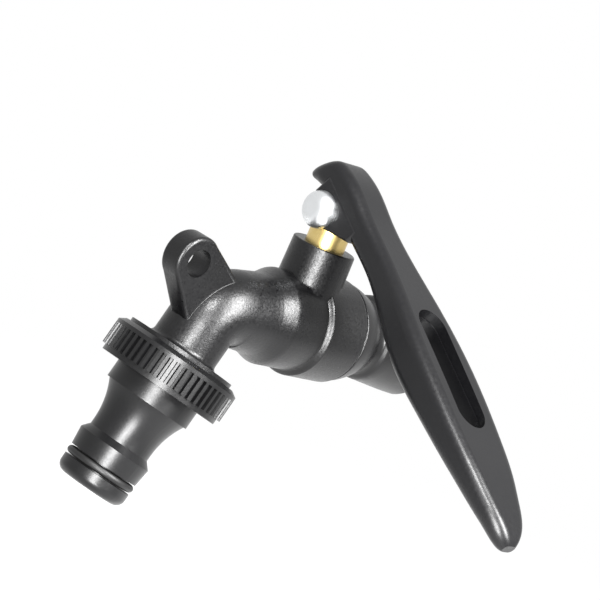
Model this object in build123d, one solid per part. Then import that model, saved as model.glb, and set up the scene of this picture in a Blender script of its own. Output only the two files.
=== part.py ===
from build123d import *
import os
from math import cos, pi, radians, sin, tan

# A lockable garden ball tap: cast body with spout and padlock ear, screwed-in inlet end,
# ball valve inside, a long lever hinged on the stem, and a quick-connect hose adaptor.
# Frame: origin on the inlet axis at the inlet's end face, +X out towards the spout, +Z up along the stem.

# Inlet end
inlet_socket_r = 7.48
inlet_socket_depth = 10.0
inlet_bore_r = 5.6
inlet_collar_r = 10.4
inlet_collar_length = 4.9
inlet_collar_chamfer = 0.6
inlet_hex_across_flats = 21.3
inlet_hex_corner_r = 11.35
inlet_hex_round = 0.8
inlet_cone_r = 9.62
inlet_cone_start = 23.2
inlet_neck_r = 8.35
inlet_neck_start = 20.3
inlet_neck_end = 21.8
inlet_dome_r = 11.5
inlet_dome_bulge_x = 17.2
inlet_dome_bulge_r = 10.05
inlet_nose_r = 9.6

# Ball housing and boss of the body
inlet_to_stem = 42.5
housing_r = 11.85
housing_back = 12.0
housing_back_round = 0.9
housing_front_r = 10.75
housing_flare_x = -1.0
housing_flare_run = 5.5
housing_flare_round = 0.3
housing_front_end = 8.7
housing_nose_run = 12.4
housing_nose_end_r = 6.0
boss_top = 18.25
boss_top_r = 7.15
boss_foot_r = 7.5
boss_round = 0.4

# Spout
spout_r = 7.7
spout_bore_r = 5.2
spout_corner = 24.6
spout_bend_r = 13.0
outlet_lean = 17.3
spout_blend = 3.0
spout_flange_start = 12.1
spout_flange_r = 12.7
spout_flange_width = 0.9
spout_flange_foot = 1.4
spout_flange_round = 1.25
spout_thread_r = 10.4
spout_thread_length = 6.6

# Padlock ear
ear_hole_x = 36.5
ear_hole_z = 8.4
ear_hole_r = 3.1
ear_r = 5.75
ear_thickness = 5.7
ear_slope = 41.0
ear_reach = 15.0
ear_round = 0.9

# Ball, seats and seals
ball_r = 8.0
ball_bore_r = 3.6
ball_slot_width = 3.4
ball_slot_depth = 2.6
ball_clearance = 0.05
cavity_clearance = 0.2
seat_inner_r = 3.9
seat_outer_r = 7.9
seat_front_x = 7.5
seat_back_x = 4.4
seal_width = 0.9
joint_clearance = 0.05

# Stem
stem_r = 4.5
stem_clearance = 0.05
stem_shoulder_rise = 3.8
stem_collar_r = 5.5
stem_collar_height = 2.0
stem_collar_clearance = 0.15
stem_washer_height = 0.8
stem_collar_drop = 10.15
stem_tang_width = 3.2
stem_tang_length = 7.6
stem_tang_gap = 0.2
stem_tongue_width = 5.2
stem_tongue_crown_r = 4.2
oring_section = 1.5
oring_squeeze_gap = 0.02
oring_pitch = 2.4
oring_top_drop = 1.8
oring_groove_play = 0.15

# Pivot bolt
pivot_rise = 7.4
bolt_r = 2.0
bolt_clearance = 0.05
bolt_head_r = 4.2
bolt_head_height = 3.1
bolt_head_rim = 0.5
bolt_end_length = 0.8
pivot_washer_r = 4.0
pivot_washer_height = 0.6
pivot_nut_across_flats = 7.0
pivot_nut_height = 3.2

# Lever, in its own frame: u runs from the pivot to the tip, n is square to the top face
lever_droop = 31.0
hub_half_width = 5.6
heel_gap = 0.15
heel_back_u = -5.2
heel_back_n = 0.6
hub_flat_run = 10.2
hub_cheek_top = 5.6
hub_cheek_proud = 0.2
hub_under = 2.4
hub_top = 9.5
hub_edge_round = 0.8
fork_clearance = 0.15
fork_root_u = 7.6
fork_back_u = -6.6
fork_root_n = 5.6
lever_edge_round = 2.4
lever_corner_share = 0.46
slot_start_u = 33.0
slot_end_u = 62.5
slot_width = 8.4
slot_lip_drop = 1.7
slot_lip_width = 0.3

# Hooked heel of the lever, from its tip: underside (u, n), back (u, n) and half width of each section
hook_sections = [
    ((-9.9, 0.25), (-10.7, 1.2), 3.6),
    ((-8.7, 0.5), (-10.2, 3.8), 4.5),
    ((-7.6, 0.9), (-9.2, 6.3), 5.0),
    ((-6.5, 1.35), (-7.6, 8.3), 5.2),
    ((-5.2, 1.9), (-5.2, 9.2), 5.3),
]

# Stations along the lever: u, half width, underside n and top n, from the waist to the tip
lever_stations = [
    (20.0, 5.8, 2.8, 9.7),
    (32.0, 7.2, 1.9, 10.1),
    (44.0, 8.5, 1.1, 10.05),
    (55.0, 8.65, 1.75, 9.8),
    (65.0, 8.2, 2.4, 9.4),
    (73.0, 7.3, 2.8, 9.0),
    (79.0, 6.1, 2.85, 8.4),
    (83.5, 4.9, 2.85, 7.8),
    (86.5, 3.4, 2.6, 6.8),
    (88.3, 1.7, 3.1, 5.2),
]

# Hose adaptor, measured down the outlet axis from the ring's lower rim
ring_height = 8.1
rib_root_r = 14.2
rib_crest_r = 15.0
rib_count = 54
rib_crest_width = 0.75
rib_start = 1.2
rib_end = 6.3
rib_valley_share = 0.3
ring_top_r = 13.6
ring_top_drop = 0.9
collar_r = 10.05
collar_height = 4.1
trumpet_r = 9.5
trumpet_length = 9.0
neck_r = 7.2
ridge_r = 8.55
ridge_top = 14.3
ridge_crest = 15.9
land_r = 8.1
nipple_groove_top = 20.0
nipple_groove_width = 2.3
nipple_groove_r = 6.5
nipple_length = 25.9
nipple_bore_r = 4.9
nose_round = 2.0
nipple_oring_proud = 0.15
adaptor_washer_height = 1.5
adaptor_thread_clearance = 0.05

os.makedirs("parts", exist_ok=True)

stem_axis = Pos(inlet_to_stem, 0, 0)
along_x = Plane(origin=(inlet_to_stem, 0, 0), x_dir=(0, 1, 0), z_dir=(1, 0, 0))
side_view = Plane(origin=(inlet_to_stem, 0, 0), x_dir=(1, 0, 0), z_dir=(0, -1, 0))
inlet_axis = Axis((0, 0, 0), (1, 0, 0))


def rod_x(radius, start, end):
    """A round bar on the inlet axis, from start to end measured from the stem axis."""
    return along_x.offset(start) * extrude(Circle(radius), end - start)


def rod_z(radius, low, high):
    """A round bar on the stem axis between two heights."""
    return stem_axis * Pos(0, 0, low) * extrude(Circle(radius), high - low)


def turned_x(outline, rounds):
    """A solid turned about the inlet axis from an (x, r) outline, with some corners rounded."""
    face = make_face(outline)
    for corner, radius in rounds:
        vertex = face.vertices().sort_by_distance((corner[0], corner[1], 0))[0]
        face = fillet(vertex, radius)
    return revolve(side_view * face, inlet_axis)


# Outlet axis: a plane at the bend's corner with its normal pointing down the outlet
outlet_dir = Vector(sin(radians(outlet_lean)), 0, -cos(radians(outlet_lean)))
outlet_corner = Vector(inlet_to_stem + spout_corner, 0, 0)
outlet = Plane(origin=outlet_corner, x_dir=(0, 1, 0), z_dir=outlet_dir)
ring_low = spout_flange_start + spout_flange_width + ring_height


def turned_outlet(outline, rounds):
    """A solid turned about the outlet axis from an (r, distance down the axis) outline."""
    face = make_face(outline)
    for corner, radius in rounds:
        vertex = face.vertices().sort_by_distance((corner[0], corner[1], 0))[0]
        face = fillet(vertex, radius)
    upright = Plane(origin=outlet_corner, x_dir=(0, 1, 0), z_dir=Vector(0, 1, 0).cross(outlet_dir))
    return revolve(upright * face, Axis(outlet_corner, outlet_dir))


# Ball housing: a wide ring at the back that flares out of the front, and a rounded nose to the spout
flare_end = housing_flare_x + housing_flare_run
nose_end = housing_front_end + housing_nose_run
housing = turned_x(
    Polyline(
        (nose_end, housing_nose_end_r),
        (nose_end, 0),
        (-housing_back, 0),
        (-housing_back, housing_r),
        (housing_flare_x, housing_r),
    )
    + TangentArc((flare_end, housing_front_r), (housing_flare_x, housing_r), tangent=(-1, 0))
    + Line((flare_end, housing_front_r), (housing_front_end, housing_front_r))
    + TangentArc((housing_front_end, housing_front_r), (nose_end, housing_nose_end_r), tangent=(1, 0)),
    [
        ((-housing_back, housing_r), housing_back_round),
        ((housing_flare_x, housing_r), housing_flare_round),
    ],
)

# Spout tube: out along X, round the bend, down the outlet axis to the flange
bend_run = spout_bend_r * tan(radians((90 - outlet_lean) / 2))
spout_start = Vector(inlet_to_stem + seat_front_x, 0, 0)
bend_start = outlet_corner - Vector(bend_run, 0, 0)
bend_end = outlet_corner + outlet_dir * bend_run
flange_top = outlet_corner + outlet_dir * spout_flange_start
path_in = Line(spout_start, bend_start)
path_bend = TangentArc(bend_start, bend_end, tangent=(1, 0, 0))
path_out = Line(bend_end, flange_top + outlet_dir * spout_flange_width)
spout_path = path_in + path_bend + path_out
mouth = Plane(origin=spout_start, x_dir=(0, 1, 0), z_dir=(1, 0, 0))
spout_tube = sweep(mouth * Circle(spout_r), spout_path)
spout_bore = sweep(mouth * Circle(spout_bore_r), spout_path)

flange_low = spout_flange_start + spout_flange_width
thread_low = flange_low + spout_thread_length
flange = turned_outlet(
    Polyline(
        (0, spout_flange_start - spout_flange_foot),
        (spout_r, spout_flange_start - spout_flange_foot),
        (spout_r, spout_flange_start),
        (spout_flange_r, spout_flange_start),
        (spout_flange_r, flange_low),
        (spout_thread_r, flange_low),
        (spout_thread_r, thread_low),
        (0, thread_low),
        close=True,
    ),
    [((spout_r, spout_flange_start), spout_flange_round)],
)

# Padlock ear: a round-ended lug in the plane of the spout, square to the outside of the bend
ear_dir = (cos(radians(ear_slope)), sin(radians(ear_slope)))
ear_foot = (ear_hole_x - ear_reach * ear_dir[0] / 2, ear_hole_z - ear_reach * ear_dir[1] / 2)
ear_face = Pos(*ear_foot) * Rot(0, 0, ear_slope) * SlotCenterToCenter(ear_reach, 2 * ear_r)
ear = side_view.offset(-ear_thickness / 2) * extrude(ear_face, ear_thickness)
ear = fillet(ear.faces().filter_by(Axis.Y).edges(), ear_round)
ear_hole = side_view.offset(-ear_thickness) * extrude(
    Pos(ear_hole_x, ear_hole_z) * Circle(ear_hole_r), 2 * ear_thickness
)

# Stem boss
boss = stem_axis * loft([Circle(boss_foot_r), Pos(0, 0, boss_top) * Circle(boss_top_r)])
boss = fillet(boss.edges().sort_by(Axis.Z)[-1], boss_round)

# Waterway inside the body
cavity_r = ball_r + cavity_clearance
seal_seat_x = -(seat_front_x - seal_width)
collar_bottom = boss_top - stem_collar_drop
collar_top = collar_bottom + stem_collar_height
washer_top = collar_top + stem_washer_height
collar_bore_r = stem_collar_r + stem_collar_clearance
stem_bore_r = stem_r + stem_clearance
spout_end_bore = outlet.offset(spout_flange_start) * extrude(
    Circle(spout_bore_r), spout_flange_width + spout_thread_length
)

casting = housing + spout_tube
casting = fillet(new_edges(housing, spout_tube, combined=casting), spout_blend)
valve_body = casting + boss + ear + flange
valve_body -= rod_x(inlet_nose_r + joint_clearance, -housing_back, seal_seat_x)
valve_body -= rod_x(cavity_r, seal_seat_x, seat_front_x)
valve_body -= rod_z(collar_bore_r, 0, washer_top)
valve_body -= rod_z(stem_bore_r, 0, boss_top)
valve_body -= spout_bore + spout_end_bore + ear_hole
export_step(valve_body, "parts/valve_body.step")

# Inlet end: threaded socket in a collar, cone with wrench flats, neck and dome, screwed into the housing
end_face_x = -inlet_to_stem
hex_x = end_face_x + inlet_collar_length
inlet_end = turned_x(
    Polyline(
        (-housing_back, inlet_dome_r),
        (-housing_back, inlet_nose_r),
        (-seat_front_x, inlet_nose_r),
        (-seat_front_x, 0),
        (hex_x, 0),
        (hex_x, inlet_hex_corner_r),
        (-inlet_cone_start, inlet_cone_r),
        (-inlet_neck_end, inlet_neck_r),
        (-inlet_neck_start, inlet_neck_r),
    )
    + ThreePointArc(
        (-inlet_neck_start, inlet_neck_r),
        (-inlet_dome_bulge_x, inlet_dome_bulge_r),
        (-housing_back, inlet_dome_r),
    ),
    [((hex_x, inlet_hex_corner_r), inlet_hex_round)],
)
hex_length = -inlet_cone_start - hex_x
wrench_flats = along_x.offset(hex_x) * extrude(
    RegularPolygon(inlet_hex_across_flats / 2, 6, major_radius=False), hex_length
)
inlet_end &= wrench_flats + rod_x(inlet_dome_r, -inlet_cone_start, 0)
collar = rod_x(inlet_collar_r, end_face_x, hex_x)
inlet_end += chamfer(collar.edges().sort_by(Axis.X)[0], inlet_collar_chamfer)
inlet_end -= rod_x(inlet_socket_r, end_face_x, end_face_x + inlet_socket_depth)
inlet_end -= rod_x(inlet_bore_r, end_face_x, 0)
export_step(inlet_end, "parts/inlet_end.step")

end_seal = rod_x(inlet_nose_r - joint_clearance, -seat_front_x, seal_seat_x)
end_seal -= rod_x(cavity_r + joint_clearance, -seat_front_x, seal_seat_x)
export_step(end_seal, "parts/end_seal.step")

# Seat rings, cupped to the ball
ball_cup = stem_axis * Sphere(ball_r + ball_clearance)
inlet_seat = rod_x(seat_outer_r, -seat_front_x, -seat_back_x) - rod_x(seat_inner_r, -seat_front_x, 0)
inlet_seat -= ball_cup
export_step(inlet_seat, "parts/inlet_seat.step")
outlet_seat = mirror(inlet_seat, about=along_x)
export_step(outlet_seat, "parts/outlet_seat.step")

# Ball with its waterway along X when open, and a driving slot across the top
ball = stem_axis * Sphere(ball_r) - rod_x(ball_bore_r, -ball_r, ball_r)
ball_slot = Box(ball_slot_width, 2 * ball_r, 2 * ball_slot_depth)
ball -= stem_axis * Pos(0, 0, ball_r) * ball_slot
export_step(ball, "parts/ball.step")

# Stem: driving tang, thrust collar, two seal grooves, shoulder and the flat tongue for the lever
shoulder_z = boss_top + stem_shoulder_rise
pivot_z = boss_top + pivot_rise
pivot = Plane(origin=(inlet_to_stem, 0, pivot_z), x_dir=(0, 1, 0), z_dir=(1, 0, 0))
oring_r = oring_section / 2
oring_centre_r = stem_bore_r - oring_squeeze_gap - oring_r
oring_groove_r = oring_centre_r - oring_r - oring_squeeze_gap
oring_groove_half = oring_r + oring_groove_play
oring_heights = [boss_top - oring_top_drop, boss_top - oring_top_drop - oring_pitch]
collar_face = collar_top - stem_collar_clearance
tongue_top = pivot_z + stem_tongue_crown_r
tang = stem_axis * Pos(0, 0, (ball_r - ball_slot_depth + stem_tang_gap + collar_bottom) / 2) * Box(
    stem_tang_width, stem_tang_length, collar_bottom - ball_r + ball_slot_depth - stem_tang_gap
)
tongue_slab = stem_axis * Pos(0, 0, (shoulder_z + tongue_top) / 2) * Box(
    stem_tongue_width, 2 * stem_r, tongue_top - shoulder_z
)
tongue_crown = pivot.offset(-stem_r) * extrude(
    Circle(stem_tongue_crown_r) + Pos(0, -pivot_z / 2) * Rectangle(2 * stem_r, pivot_z), 2 * stem_r
)
tongue = rod_z(stem_r, shoulder_z, tongue_top) & tongue_slab & tongue_crown
stem = tang + rod_z(stem_collar_r, collar_bottom, collar_face)
stem += rod_z(stem_r, collar_bottom, shoulder_z) + tongue
for height in oring_heights:
    groove = rod_z(stem_bore_r, height - oring_groove_half, height + oring_groove_half)
    groove -= rod_z(oring_groove_r, height - oring_section, height + oring_section)
    stem -= groove
bolt_gap_r = bolt_r + bolt_clearance
stem -= pivot.offset(-stem_r) * extrude(Circle(bolt_gap_r), 2 * stem_r)
export_step(stem, "parts/stem.step")

stem_washer = rod_z(collar_bore_r - joint_clearance, collar_top, washer_top)
stem_washer -= rod_z(stem_bore_r + joint_clearance, collar_top, washer_top)
export_step(stem_washer, "parts/stem_washer.step")

for name, height in zip(("stem_o_ring_upper", "stem_o_ring_lower"), oring_heights):
    stem_o_ring = stem_axis * Pos(0, 0, height) * Torus(oring_centre_r, oring_r)
    export_step(stem_o_ring, f"parts/{name}.step")

# Lever: a lofted cast blade with a hooked heel, a forked hub and a long slot for the ear
droop = radians(lever_droop)
lever_frame = Plane(
    origin=(inlet_to_stem, 0, pivot_z),
    x_dir=(0, cos(droop), -sin(droop)),
    z_dir=(0, sin(droop), cos(droop)),
)
hub_station = (fork_root_u, hub_half_width - hub_cheek_proud, hub_under, hub_top)
square_sections = [
    ((u, under), (u, top), half) for u, half, under, top in [hub_station] + lever_stations
]
sections = []
for under, top, half in hook_sections + square_sections:
    rise = Vector(top[0] - under[0], 0, top[1] - under[1])
    corner = min(lever_edge_round, lever_corner_share * min(rise.length, 2 * half))
    middle = ((under[0] + top[0]) / 2, 0, (under[1] + top[1]) / 2)
    place = Plane(origin=middle, x_dir=(0, 1, 0), z_dir=Vector(0, 1, 0).cross(rise))
    sections.append(place * RectangleRounded(2 * half, rise.length, corner))
blade = loft(sections)
heel_r = pivot_rise - stem_shoulder_rise - heel_gap
flat_start = (heel_r * sin(droop), -heel_r * cos(droop))
flat_end = (flat_start[0] + hub_flat_run * cos(droop), flat_start[1] + hub_flat_run * sin(droop))
cheek_outline = [
    (heel_back_u, heel_back_n),
    flat_start,
    flat_end,
    (flat_end[0], hub_cheek_top),
    (heel_back_u, hub_cheek_top),
]
lever_side = Plane(origin=(0, 0, 0), x_dir=(1, 0, 0), z_dir=(0, -1, 0))
cheek_face = Circle(heel_r) + make_face(Polyline(*cheek_outline, close=True))
hub = lever_side.offset(-hub_half_width) * extrude(cheek_face, 2 * hub_half_width)
hub = fillet(hub.faces().filter_by(Axis.Y).edges(), hub_edge_round)
fork_half_gap = stem_tongue_width / 2 + fork_clearance
fork_middle_u = (fork_root_u + fork_back_u) / 2
fork = Pos(fork_middle_u, 0, 0) * Box(fork_root_u - fork_back_u, 2 * fork_half_gap, 2 * fork_root_n)
bolt_hole = lever_side.offset(-2 * hub_half_width) * extrude(Circle(bolt_gap_r), 4 * hub_half_width)
slot_middle = (slot_start_u + slot_end_u) / 2
slot_run = slot_end_u - slot_start_u - slot_width
slot_lip = hub_top - slot_lip_drop
slot_outline = SlotCenterToCenter(slot_run, slot_width)
slot = Pos(slot_middle, 0, slot_lip) * extrude(slot_outline, hub_top)
slot += Pos(slot_middle, 0, 0) * extrude(offset(slot_outline, -slot_lip_width), hub_top)
lever_form = blade + hub - fork - bolt_hole - slot
lever = lever_frame * lever_form
export_step(lever, "parts/lever.step")

# Pivot bolt across the fork, with its washer and nut on the far cheek
bolt_head = pivot.offset(hub_half_width) * extrude(Circle(bolt_head_r), bolt_head_height)
bolt_head = fillet(bolt_head.edges().sort_by(Axis.X)[-1], bolt_head_height - bolt_head_rim)
nut_face = -hub_half_width - pivot_washer_height
bolt_end = nut_face - pivot_nut_height - bolt_end_length
pivot_bolt = bolt_head + pivot.offset(bolt_end) * extrude(Circle(bolt_r), hub_half_width - bolt_end)
export_step(pivot_bolt, "parts/pivot_bolt.step")

washer_outline = Circle(pivot_washer_r) - Circle(bolt_gap_r)
pivot_washer = pivot.offset(nut_face) * extrude(washer_outline, pivot_washer_height)
export_step(pivot_washer, "parts/pivot_washer.step")

nut_outline = RegularPolygon(pivot_nut_across_flats / 2, 6, major_radius=False) - Circle(bolt_gap_r)
pivot_nut = pivot.offset(nut_face - pivot_nut_height) * extrude(nut_outline, pivot_nut_height)
export_step(pivot_nut, "parts/pivot_nut.step")

# Hose adaptor: knurled ring, collar, trumpet neck and the ridged nipple in one turned piece
socket_floor = thread_low + adaptor_washer_height
ring_top = ring_low - ring_height
nipple_end = ring_low + nipple_length
groove_top = ring_low + nipple_groove_top
groove_bottom = groove_top + nipple_groove_width
socket_r = spout_thread_r + adaptor_thread_clearance
trumpet_top = ring_low + collar_height
trumpet_end = trumpet_top + trumpet_length
adaptor = turned_outlet(
    Polyline(
        (neck_r, trumpet_end),
        (neck_r, ring_low + ridge_top),
        (ridge_r, ring_low + ridge_crest),
        (land_r, groove_top),
        (nipple_groove_r, groove_top),
        (nipple_groove_r, groove_bottom),
        (land_r, groove_bottom),
        (land_r, nipple_end),
        (nipple_bore_r, nipple_end),
        (nipple_bore_r, socket_floor),
        (socket_r, socket_floor),
        (socket_r, ring_top),
        (ring_top_r, ring_top),
        (rib_crest_r, ring_top + ring_top_drop),
        (rib_crest_r, ring_low - rib_end),
        (rib_root_r, ring_low - rib_end),
        (rib_root_r, ring_low),
        (collar_r, ring_low),
        (collar_r, trumpet_top),
        (trumpet_r, trumpet_top),
    )
    + TangentArc((neck_r, trumpet_end), (trumpet_r, trumpet_top), tangent=(0, -1)),
    [((land_r, nipple_end), nose_round)],
)
rib_angle = 2 * pi / rib_count
half_crest = rib_crest_width / rib_crest_r / 2
half_root = rib_angle * (1 - rib_valley_share) / 2
rib_corners = [
    (rib_root_r, -half_root),
    (rib_crest_r, -half_crest),
    (rib_crest_r, half_crest),
    (rib_root_r, half_root),
]
rib_points = []
for rib in range(rib_count):
    middle = rib * rib_angle
    for radius, turn in rib_corners:
        rib_points.append((radius * cos(middle + turn), radius * sin(middle + turn)))
knurl = outlet.offset(ring_low - rib_end) * extrude(
    make_face(Polyline(*rib_points, close=True)) - Circle((socket_r + rib_root_r) / 2), rib_end - rib_start
)
hose_adaptor = adaptor + knurl
export_step(hose_adaptor, "parts/hose_adaptor.step")

adaptor_washer = outlet.offset(socket_floor - adaptor_washer_height) * extrude(
    Circle(spout_thread_r - joint_clearance) - Circle(spout_bore_r), adaptor_washer_height
)
export_step(adaptor_washer, "parts/adaptor_washer.step")

nipple_oring_r = (land_r + nipple_oring_proud - nipple_groove_r - oring_squeeze_gap) / 2
nipple_o_ring = outlet.offset((groove_top + groove_bottom) / 2) * Torus(
    nipple_groove_r + oring_squeeze_gap + nipple_oring_r, nipple_oring_r
)
export_step(nipple_o_ring, "parts/nipple_o_ring.step")
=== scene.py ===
from math import atan2, copysign, cos, hypot, pi, radians, sin, sqrt, tan

import bmesh
import bpy
import numpy as np
from mathutils import Matrix, Vector


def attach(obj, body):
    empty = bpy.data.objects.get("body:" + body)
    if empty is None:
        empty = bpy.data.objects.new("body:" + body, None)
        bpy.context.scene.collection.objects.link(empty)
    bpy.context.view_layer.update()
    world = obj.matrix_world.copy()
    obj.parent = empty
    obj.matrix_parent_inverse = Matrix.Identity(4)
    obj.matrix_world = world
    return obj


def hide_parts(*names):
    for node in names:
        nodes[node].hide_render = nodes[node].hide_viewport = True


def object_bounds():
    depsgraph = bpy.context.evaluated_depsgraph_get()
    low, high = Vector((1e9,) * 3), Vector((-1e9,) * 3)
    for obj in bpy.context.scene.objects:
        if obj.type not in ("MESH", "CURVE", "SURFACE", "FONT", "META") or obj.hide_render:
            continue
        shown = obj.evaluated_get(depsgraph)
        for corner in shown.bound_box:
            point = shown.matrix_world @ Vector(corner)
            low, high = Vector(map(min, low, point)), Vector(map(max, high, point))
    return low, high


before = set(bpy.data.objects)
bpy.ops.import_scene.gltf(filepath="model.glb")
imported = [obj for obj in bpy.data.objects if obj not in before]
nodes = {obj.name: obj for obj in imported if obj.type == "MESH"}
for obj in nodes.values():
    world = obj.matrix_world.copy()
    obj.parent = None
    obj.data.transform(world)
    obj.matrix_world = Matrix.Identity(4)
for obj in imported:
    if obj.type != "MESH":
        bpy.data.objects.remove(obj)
cad_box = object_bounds()

# Valve body: one sand-cast brass piece with ball housing, stem boss, bent spout and padlock ear.
# It is shot-blasted and then coated black.
# The housing's step, the shoulder and the elbow are shaped here, on a copy of the solid's mesh.
MM = 0.001
weld_gap = 0.001 * MM
cut_gap = 0.0001 * MM
noise_low = 0.3
noise_high = 0.7
soft_gloss = 0.3


def linear(hex_colour):
    """An sRGB hex colour as linear RGBA."""
    parts = [int(hex_colour[k:k + 2], 16) / 255 for k in (1, 3, 5)]
    return [c / 12.92 if c <= 0.04045 else ((c + 0.055) / 1.055) ** 2.4 for c in parts] + [1.0]


def add(tree, kind, settings=None, **links):
    """Adds a node: settings are its properties, links its inputs as values or as sockets."""
    node = tree.nodes.new(kind)
    for name, value in (settings or {}).items():
        setattr(node, name, value)
    for name, value in links.items():
        socket = node.inputs[int(name[1:])] if name[1:].isdigit() else node.inputs[name.replace("_", " ")]
        if isinstance(value, bpy.types.NodeSocket):
            tree.links.new(value, socket)
        else:
            socket.default_value = value
    return node


def new_material(name):
    """A node material and its tree, still empty."""
    material = bpy.data.materials.new(name)
    material.use_nodes = True
    tree = material.node_tree
    tree.nodes.clear()
    return material, tree


def coated_metal(name, colour, worn_colour, grain_mm, grain_depth_mm, roughness, rough_spread, mottle_mm):
    """Black coated metal: a dark satin skin whose grain breaks the gloss, a little paler where mottled."""
    material, tree = new_material(name)
    place = add(tree, "ShaderNodeTexCoord").outputs["Object"]
    grain = add(tree, "ShaderNodeTexNoise", Vector=place, Scale=1 / (grain_mm * MM), Detail=3.0,
                Roughness=0.6)
    mottle = add(tree, "ShaderNodeTexNoise", Vector=place, Scale=1 / (mottle_mm * MM), Detail=4.0)
    tone = add(tree, "ShaderNodeMix", {"data_type": "RGBA"}, _0=mottle.outputs["Fac"],
               _6=linear(colour), _7=linear(worn_colour))
    gloss = add(tree, "ShaderNodeMapRange", Value=grain.outputs["Fac"], From_Min=noise_low,
                From_Max=noise_high, To_Min=roughness - rough_spread, To_Max=roughness + rough_spread)
    relief = add(tree, "ShaderNodeBump", Height=grain.outputs["Fac"], Strength=1.0,
                 Distance=grain_depth_mm * MM)
    skin = add(tree, "ShaderNodeBsdfPrincipled", Base_Color=tone.outputs[2], Roughness=gloss.outputs[0],
               Specular_IOR_Level=soft_gloss, Normal=relief.outputs[0])
    add(tree, "ShaderNodeOutputMaterial", Surface=skin.outputs[0])
    return material


def dress(node, material):
    """Gives a part made in CAD its finish."""
    for slot in nodes[node].material_slots:
        slot.material = material


def welded(node):
    """A copy of a CAD node's mesh with its faces joined at their edges, ready to be worked on."""
    copy = bmesh.new()
    copy.from_mesh(nodes[node].data)
    bmesh.ops.remove_doubles(copy, verts=copy.verts, dist=weld_gap)
    return copy


def show(name, mesh, body):
    """Puts a finished mesh in the scene, on its body."""
    piece = bpy.data.objects.new(name, mesh)
    bpy.context.collection.objects.link(piece)
    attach(piece, body)
    return piece


def show_instead(node, name, worked, material, body, crease_deg=28):
    """Shows a worked copy in place of its CAD node, with crisp edges where faces meet sharply."""
    mesh = bpy.data.meshes.new(name)
    worked.to_mesh(mesh)
    worked.free()
    mesh.materials.clear()
    mesh.materials.append(material)
    mesh.set_sharp_from_angle(angle=radians(crease_deg))
    piece = show(name, mesh, body)
    piece.modifiers.new("flat_faces_stay_flat", "WEIGHTED_NORMAL").keep_sharp = True
    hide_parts(node)


def cut_across(mesh, x):
    """Cuts a ring of edges into a mesh at one place along the inlet axis."""
    bmesh.ops.bisect_plane(mesh, geom=mesh.verts[:] + mesh.edges[:] + mesh.faces[:], dist=cut_gap,
                           plane_co=(x, 0, 0), plane_no=(1, 0, 0))


# The coat looks satin over a blasted grain that glints, drawn coarser than a real one so that it shows.
cast_coat = coated_metal("black_coat_on_cast_brass", "#020202", "#060607", grain_mm=0.5,
                         grain_depth_mm=0.042, roughness=0.34, rough_spread=0.08, mottle_mm=9.0)

stem_x = 42.5 * MM
ring_r = 11.85 * MM
ring_edge = stem_x - 1.0 * MM
front_r = 10.75 * MM
step_run = 1.2 * MM
step_cuts = 6
flare_run = 5.5 * MM
flare_bow = (flare_run ** 2 + (ring_r - front_r) ** 2) / (2 * (ring_r - front_r))
flare_gap = 0.06 * MM
boss_r = 7.5 * MM
boss_reach = 3.4 * MM


def draw_in_step(mesh):
    """Draws the long flare in front of the housing's ring in to a short, rounded step."""
    for k in range(step_cuts):
        cut_across(mesh, ring_edge + step_run * (k + 1) / step_cuts)
    for vertex in mesh.verts:
        x, y, z = vertex.co
        along = x - ring_edge
        if not 0 < along < flare_run:
            continue
        reach = hypot(y, z)
        flare = front_r + flare_bow - sqrt(flare_bow ** 2 - (flare_run - along) ** 2)
        if abs(reach - flare) >= flare_gap:
            continue
        rise = max(0.0, 1 - along / step_run)
        step = front_r + (ring_r - front_r) * rise * rise * (3 - 2 * rise)
        # At the foot of the boss the skin moves straight down, so that the boss stays round.
        off_boss = (hypot(x - stem_x, y) - boss_r) / boss_reach if z > 0 else 1.0
        y *= 1 + min(max(off_boss, 0.0), 1.0) * (step / reach - 1)
        vertex.co = x, y, copysign(sqrt(max(step ** 2 - y ** 2, 0.0)), z)


# The elbow is worked out in millimetres from the ball's centre: its radius at each run along the spout.
elbow_at = [8.7, 9.7, 10.7, 11.7, 12.7, 13.7, 14.7, 16.0, 24.0, 27.0]
elbow_r = [10.75, 10.28, 9.85, 9.47, 9.15, 8.95, 8.82, 8.7, 7.9, 7.7]
shoulder_cuts = elbow_at[1:8]
ball_centre = Vector((stem_x, 0, 0))
bend_start = 15.03
bend_r = 13.0
tight_bend_r = 8.0
spout_lean = radians(17.3)
bend_angle = pi / 2 - spout_lean
straight = (bend_r - tight_bend_r) * tan(bend_angle / 2)
spout_r = 7.7
spout_gap = 0.3
outer_wall_r = 7.45
nose_r = 10.85
run_gap = 0.01


def along_spout(point):
    """Tells if a point is on the spout's outer wall, and its run, swing in the bend, centre and spoke."""
    x, y, z = (point - ball_centre) / MM
    swing = atan2(max(0.0, x - bend_start), z + bend_r)
    run = min(x, bend_start) + bend_r * swing
    centre = Vector((min(x, bend_start) + bend_r * sin(swing), 0, bend_r * (cos(swing) - 1)))
    spoke = Vector((x, y, z)) - centre
    on_spout = elbow_at[0] + run_gap < run < bend_start + bend_r * bend_angle
    on_wall = on_spout and outer_wall_r < spoke.length < nose_r
    return on_wall, run, swing, centre, spoke


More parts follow.
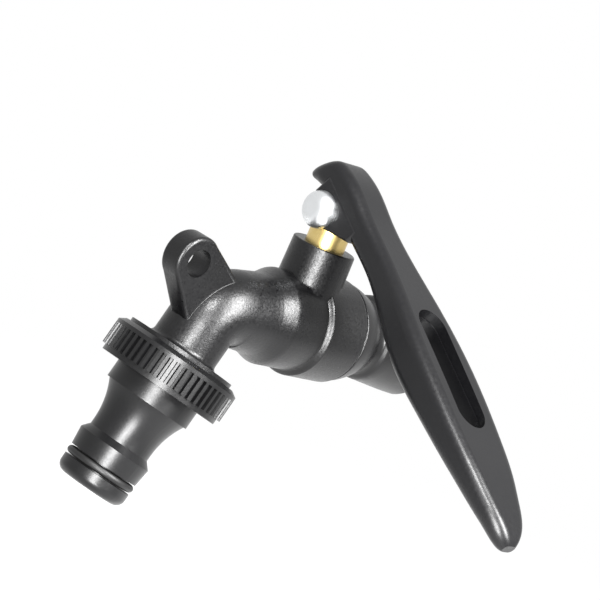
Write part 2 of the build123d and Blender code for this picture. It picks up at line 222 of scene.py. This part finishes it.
def shape_elbow(mesh):
    """Gives the spout its shoulder, its wide elbow and a tighter bend between the same two ends."""
    for cut in shoulder_cuts:
        cut_across(mesh, stem_x + cut * MM)
    wall = {vertex for vertex in mesh.verts if along_spout(vertex.co)[0]}
    wall_edges = [edge for edge in mesh.edges if wall.issuperset(edge.verts)]
    bmesh.ops.subdivide_edges(mesh, edges=wall_edges, cuts=1, use_grid_fill=True)
    for vertex in mesh.verts:
        on_wall, run, swing, centre, spoke = along_spout(vertex.co)
        if not on_wall:
            continue
        if run < elbow_at[-1] or abs(spoke.length - spout_r) < spout_gap:
            spoke *= np.interp(run, elbow_at, elbow_r) / spoke.length
        if run > bend_start:
            gone = (run - bend_start) / (bend_r * bend_angle) * (2 * straight + tight_bend_r * bend_angle)
            turn = min(max((gone - straight) / tight_bend_r, 0.0), bend_angle)
            over = max(gone - straight - tight_bend_r * bend_angle, 0.0)
            out = bend_start + min(gone, straight) + tight_bend_r * sin(turn) + over * cos(bend_angle)
            down = tight_bend_r * (1 - cos(turn)) + over * sin(bend_angle)
            centre = Vector((out, 0, -down))
            spoke.rotate(Matrix.Rotation(turn - swing, 3, "Y"))
        vertex.co = (centre + spoke) * MM + ball_centre


casting = welded("valve_body")
draw_in_step(casting)
shape_elbow(casting)
show_instead("valve_body", "valve_body_cast", casting, cast_coat, "tap", crease_deg=21)

# Inlet end: a turned and milled brass piece with wrench flats, screwed into the back of the housing.
# Its collar holds a socket with a G 3/8 pipe thread that screws onto the pipe from the wall.
# The socket's wall is set back to the thread's root here, and the thread is wound on it.
socket_r = 7.48 * MM
socket_depth = 10.0 * MM
socket_gap = 0.1 * MM
depth_gap = 0.01 * MM
thread_depth = 0.85 * MM
thread_pitch = 1.337 * MM
thread_steps = 64
profile_steps = 8
lead_in = 0.3 * MM
half = 0.5
root_flat = 0.04
run_out = 0.09


def make_thread_tree(material):
    """Winds a strip of V profile round the socket's wall: along it runs the turn, across it one pitch."""
    tree = bpy.data.node_groups.new("pipe_thread", "GeometryNodeTree")
    for name in ("Root radius", "Depth", "Pitch", "Turns", "Start"):
        tree.interface.new_socket(name, in_out="INPUT", socket_type="NodeSocketFloat")
    tree.interface.new_socket("Steps", in_out="INPUT", socket_type="NodeSocketInt")
    tree.interface.new_socket("Geometry", in_out="OUTPUT", socket_type="NodeSocketGeometry")
    sizes = add(tree, "NodeGroupInput").outputs
    math = "ShaderNodeMath"
    strip = add(tree, "GeometryNodeMeshGrid", Size_X=1.0, Size_Y=1.0, Vertices_X=sizes["Steps"],
                Vertices_Y=profile_steps + 1)
    spot = add(tree, "ShaderNodeSeparateXYZ", Vector=add(tree, "GeometryNodeInputPosition").outputs[0])
    along = add(tree, math, {"operation": "ADD"}, _0=spot.outputs[0], _1=half).outputs[0]
    across = add(tree, math, {"operation": "ADD"}, _0=spot.outputs[1], _1=half).outputs[0]
    turn = add(tree, math, {"operation": "MULTIPLY"}, _0=along, _1=sizes["Turns"]).outputs[0]
    angle = add(tree, math, {"operation": "MULTIPLY"}, _0=turn, _1=2 * pi).outputs[0]
    rise = add(tree, math, {"operation": "ADD"}, _0=turn, _1=across).outputs[0]
    x = add(tree, math, {"operation": "MULTIPLY_ADD"}, _0=rise, _1=sizes["Pitch"],
            _2=sizes["Start"]).outputs[0]
    ridge = add(tree, math, {"operation": "PINGPONG"}, _0=across, _1=half).outputs[0]
    crest = add(tree, "ShaderNodeMapRange", {"interpolation_type": "SMOOTHSTEP"}, Value=ridge,
                From_Min=root_flat, From_Max=half - root_flat, To_Min=0.0, To_Max=1.0).outputs[0]
    ends = add(tree, math, {"operation": "PINGPONG"}, _0=along, _1=half).outputs[0]
    fade = add(tree, "ShaderNodeMapRange", Value=ends, From_Min=0.0, From_Max=run_out, To_Min=0.0,
               To_Max=1.0).outputs[0]
    height = add(tree, math, {"operation": "MULTIPLY"}, _0=crest, _1=fade).outputs[0]
    r = add(tree, math, {"operation": "MULTIPLY_ADD"}, _0=height, _1=sizes["Depth"],
            _2=sizes["Root radius"]).outputs[0]
    cosine = add(tree, math, {"operation": "COSINE"}, _0=angle).outputs[0]
    sine = add(tree, math, {"operation": "SINE"}, _0=angle).outputs[0]
    y = add(tree, math, {"operation": "MULTIPLY"}, _0=r, _1=cosine).outputs[0]
    z = add(tree, math, {"operation": "MULTIPLY"}, _0=r, _1=sine).outputs[0]
    place = add(tree, "ShaderNodeCombineXYZ", X=x, Y=y, Z=z).outputs[0]
    wound = add(tree, "GeometryNodeSetPosition", Geometry=strip.outputs[0], Position=place).outputs[0]
    smooth = add(tree, "GeometryNodeSetShadeSmooth", Geometry=wound).outputs[0]
    real = add(tree, "GeometryNodeRealizeInstances", Geometry=smooth).outputs[0]
    coated = add(tree, "GeometryNodeSetMaterial", Geometry=real, Material=material).outputs[0]
    add(tree, "NodeGroupOutput", Geometry=coated)
    return tree


def grown(name, tree, values):
    """Runs a node tree on an empty mesh with its named inputs set and keeps the result as a plain mesh."""
    holder = bpy.data.objects.new(name + "_holder", bpy.data.meshes.new(name + "_holder"))
    bpy.context.collection.objects.link(holder)
    modifier = holder.modifiers.new("grow", "NODES")
    modifier.node_group = tree
    for item in tree.interface.items_tree:
        if item.in_out == "INPUT":
            modifier[item.identifier] = values[item.name]
    evaluated = holder.evaluated_get(bpy.context.evaluated_depsgraph_get())
    mesh = bpy.data.meshes.new_from_object(evaluated)
    bpy.data.objects.remove(holder)
    mesh.name = name
    return mesh


# On turned brass the same coat lies smoother, and its highlights are cleaner.
machined_coat = coated_metal("black_coat_on_turned_brass", "#030303", "#070708", grain_mm=0.4,
                             grain_depth_mm=0.008, roughness=0.32, rough_spread=0.04, mottle_mm=12.0)
thread_turns = (socket_depth - 2 * lead_in) / thread_pitch - 1
thread_mesh = grown("inlet_thread", make_thread_tree(machined_coat), {
    "Root radius": socket_r + thread_depth, "Depth": -thread_depth, "Pitch": thread_pitch,
    "Turns": thread_turns, "Start": lead_in, "Steps": int(thread_turns * thread_steps) + 1})
thread = bmesh.new()
thread.from_mesh(thread_mesh)
bmesh.ops.remove_doubles(thread, verts=thread.verts, dist=weld_gap)
bmesh.ops.recalc_face_normals(thread, faces=thread.faces)
thread.to_mesh(thread_mesh)
thread.free()
show("inlet_thread", thread_mesh, "tap")

inlet = welded("inlet_end")
for vertex in inlet.verts:
    reach = vertex.co.yz.length
    if vertex.co.x < socket_depth + depth_gap and abs(reach - socket_r) < socket_gap:
        vertex.co.yz *= (socket_r + thread_depth) / reach
show_instead("inlet_end", "inlet_end_turned", inlet, machined_coat, "tap")

# End seal, adaptor washer and O-rings: moulded black nitrile rubber, pressed into their grooves.
# They keep a dull, slightly dusty skin.


def moulded(name, colour, dusty_colour, roughness, speck_mm):
    """A moulded rubber or plastic skin with faint dusting."""
    material, tree = new_material(name)
    place = add(tree, "ShaderNodeTexCoord").outputs["Object"]
    dust = add(tree, "ShaderNodeTexNoise", Vector=place, Scale=1 / (speck_mm * MM), Detail=3.0)
    tone = add(tree, "ShaderNodeMix", {"data_type": "RGBA"}, _0=dust.outputs["Fac"], _6=linear(colour),
               _7=linear(dusty_colour))
    relief = add(tree, "ShaderNodeBump", Height=dust.outputs["Fac"], Strength=0.6, Distance=0.01 * MM)
    skin = add(tree, "ShaderNodeBsdfPrincipled", Base_Color=tone.outputs[2], Roughness=roughness,
               Specular_IOR_Level=soft_gloss, Normal=relief.outputs[0])
    add(tree, "ShaderNodeOutputMaterial", Surface=skin.outputs[0])
    return material


nitrile = moulded("moulded_nitrile_rubber", "#040404", "#090909", roughness=0.46, speck_mm=0.8)
for seal in ("end_seal", "adaptor_washer", "nipple_o_ring", "stem_o_ring_upper", "stem_o_ring_lower"):
    dress(seal, nitrile)

# Seats and thrust washer: pressed white PTFE rings that the ball and the stem's collar turn on.
# The waxy plastic looks soft white, with a broad and weak gloss.
ptfe = moulded("pressed_ptfe", "#e4e3df", "#efeeea", roughness=0.5, speck_mm=2.0)
for ring in ("inlet_seat", "outlet_seat", "stem_washer"):
    dress(ring, ptfe)

# Ball: turned brass with a waterway and a driving slot, held between the two seats.
# It is chrome plated and polished, so it mirrors what is around it.
tarnish_mm = 3.0
tarnish_spread = 0.2
# A wave texture of scale 1 repeats about every 1 / pi of a metre.
wave_length = 1 / pi


def bright_metal(name, colour, shade_colour, roughness, ring_mm, ring_depth_mm, axis):
    """Bright turned metal: fine tool rings along the turning axis and a slight change of tone."""
    material, tree = new_material(name)
    place = add(tree, "ShaderNodeTexCoord").outputs["Object"]
    rings = add(tree, "ShaderNodeTexWave", {"wave_type": "BANDS", "bands_direction": axis}, Vector=place,
                Scale=wave_length / (ring_mm * MM), Distortion=0.4, Detail=1.0)
    tarnish = add(tree, "ShaderNodeTexNoise", Vector=place, Scale=1 / (tarnish_mm * MM), Detail=3.0)
    tone = add(tree, "ShaderNodeMix", {"data_type": "RGBA"}, _0=tarnish.outputs["Fac"], _6=linear(colour),
               _7=linear(shade_colour))
    gloss = add(tree, "ShaderNodeMapRange", Value=tarnish.outputs["Fac"], From_Min=noise_low,
                From_Max=noise_high, To_Min=roughness * (1 - tarnish_spread),
                To_Max=roughness * (1 + tarnish_spread))
    relief = add(tree, "ShaderNodeBump", Height=rings.outputs["Fac"], Strength=1.0,
                 Distance=ring_depth_mm * MM)
    skin = add(tree, "ShaderNodeBsdfPrincipled", Base_Color=tone.outputs[2], Metallic=1.0,
               Roughness=gloss.outputs[0], Normal=relief.outputs[0])
    add(tree, "ShaderNodeOutputMaterial", Surface=skin.outputs[0])
    return material


dress("ball", bright_metal("polished_chrome_plate", "#d8dadc", "#cfd1d4", roughness=0.08, ring_mm=0.4,
                           ring_depth_mm=0.0005, axis="X"))

# Stem: turned from brass bar and left bare, pushed in from below and held by its collar.
# It keeps the fine rings of the lathe tool, drawn coarser than real ones so that they show.
dress("stem", bright_metal("turned_brass", "#d9c48a", "#bda35e", roughness=0.32, ring_mm=0.3,
                           ring_depth_mm=0.006, axis="Z"))

# Lever: die-cast zinc with a forked hub, slotted to drop over the padlock ear.
# Its black coat looks smoother than the body's, because a die leaves less grain than sand.
dress("lever", coated_metal("black_coat_on_die_cast_zinc", "#030304", "#070708", grain_mm=0.7,
                            grain_depth_mm=0.008, roughness=0.34, rough_spread=0.04, mottle_mm=14.0))

# Pivot bolt, washer and nut: zinc plated steel, put through the lever's fork and the stem's tongue.
# The bolt's domed head shows on the front cheek, bright with a dull sheen.
plate = bright_metal("bright_zinc_plate", "#dcdedf", "#c8cacc", roughness=0.32, ring_mm=0.5,
                     ring_depth_mm=0.001, axis="X")
for fastener in ("pivot_bolt", "pivot_washer", "pivot_nut"):
    dress(fastener, plate)

# Hose adaptor: turned brass with a knurled ring, a collar and a ridged nipple.
# It is coated black like the inlet end and screwed on the spout's thread.
dress("hose_adaptor", machined_coat)

# Floor: a pale studio table some way under the part, painted matt.
# It fades out into the white background.
floor_z = cad_box[0][2] - 60 * MM
floor_half = 600 * MM
fade_from = 60 * MM
fade_to = 400 * MM
grit_mm = 4.0
floor_mesh = bpy.data.meshes.new("floor")
floor_mesh.from_pydata([(-floor_half, -floor_half, floor_z), (floor_half, -floor_half, floor_z),
                        (floor_half, floor_half, floor_z), (-floor_half, floor_half, floor_z)], [],
                       [(0, 1, 2, 3)])
floor_paint, table = new_material("pale_studio_table")
place = add(table, "ShaderNodeTexCoord").outputs["Object"]
distance = add(table, "ShaderNodeVectorMath", {"operation": "LENGTH"}, _0=place).outputs["Value"]
fade = add(table, "ShaderNodeMapRange", {"interpolation_type": "SMOOTHSTEP"}, Value=distance,
           From_Min=fade_from, From_Max=fade_to, To_Min=0.0, To_Max=1.0)
grit = add(table, "ShaderNodeTexNoise", Vector=place, Scale=1 / (grit_mm * MM))
paint_tone = add(table, "ShaderNodeMix", {"data_type": "RGBA"}, _0=grit.outputs["Fac"],
                 _6=linear("#b4b4b4"), _7=linear("#b8b8b8"))
paint = add(table, "ShaderNodeBsdfDiffuse", Color=paint_tone.outputs[2])
clear = add(table, "ShaderNodeBsdfTransparent")
blend = add(table, "ShaderNodeMixShader", _0=fade.outputs[0], _1=paint.outputs[0], _2=clear.outputs[0])
add(table, "ShaderNodeOutputMaterial", Surface=blend.outputs[0])
floor_mesh.materials.append(floor_paint)
floor = bpy.data.objects.new("floor", floor_mesh)
bpy.context.collection.objects.link(floor)

# Studio: a surround that is white to the eye and in reflections, and dimmer as fill light.
# Three soft boxes stand in the camera's directions: in front, at the side and above.
fill_strength = 0.25
seen_strength = 1.0
scene = bpy.context.scene
scene.view_settings.view_transform = "Standard"
world = bpy.data.worlds.new("white_studio")
scene.world = world
world.use_nodes = True
surround = world.node_tree
surround.nodes.clear()
rays = add(surround, "ShaderNodeLightPath").outputs
looked_at = add(surround, "ShaderNodeMath", {"operation": "ADD"}, _0=rays["Is Camera Ray"],
                _1=rays["Is Glossy Ray"])
seen = add(surround, "ShaderNodeMath", {"operation": "ADD", "use_clamp": True}, _0=looked_at.outputs[0],
           _1=rays["Is Transmission Ray"])
strength = add(surround, "ShaderNodeMapRange", Value=seen.outputs[0], To_Min=fill_strength,
               To_Max=seen_strength)
sky = add(surround, "ShaderNodeBackground", Color=[1.0, 1.0, 1.0, 1.0], Strength=strength.outputs[0])
add(surround, "ShaderNodeOutputWorld", Surface=sky.outputs[0])

view_out = Vector((0.73045, 0.66388, 0.16033))
view_right = Vector((-0.66508, 0.63808, 0.38799))
view_up = Vector((0.15527, -0.39003, 0.90761))
middle = Vector((stem_x, 20 * MM, 0.0))


def soft_box(name, right, up, out, width, height, watts):
    """A soft box placed in the camera's directions from the part's middle, in metres, facing the part."""
    lamp = bpy.data.lights.new(name, "AREA")
    lamp.shape = "RECTANGLE"
    lamp.size = width
    lamp.size_y = height
    lamp.energy = watts
    box = bpy.data.objects.new(name, lamp)
    box.location = middle + view_right * right + view_up * up + view_out * out
    box.rotation_euler = (middle - box.location).to_track_quat("-Z", "Y").to_euler()
    bpy.context.collection.objects.link(box)


soft_box("front_soft_box", right=-0.04, up=-0.1, out=0.75, width=0.26, height=0.5, watts=25.0)
soft_box("side_strip", right=0.60, up=0.12, out=0.42, width=0.24, height=0.66, watts=37.0)
soft_box("top_soft_box", right=0.12, up=0.42, out=0.60, width=0.14, height=0.16, watts=10.0)

# Camera: a long lens on a slightly rolled camera.
# Its place and turn were fitted to rims, holes and edges in the photograph.
camera_place = Vector((0.4533, 0.3730, 0.0952))
camera_turn = Matrix((view_right, view_up, view_out)).transposed().to_4x4()
camera_data = bpy.data.cameras.new("camera")
camera_data.sensor_width = 36.0
camera_data.lens = 154.36
camera = bpy.data.objects.new("camera", camera_data)
camera.matrix_world = Matrix.Translation(camera_place) @ camera_turn
bpy.context.collection.objects.link(camera)
scene.camera = camera
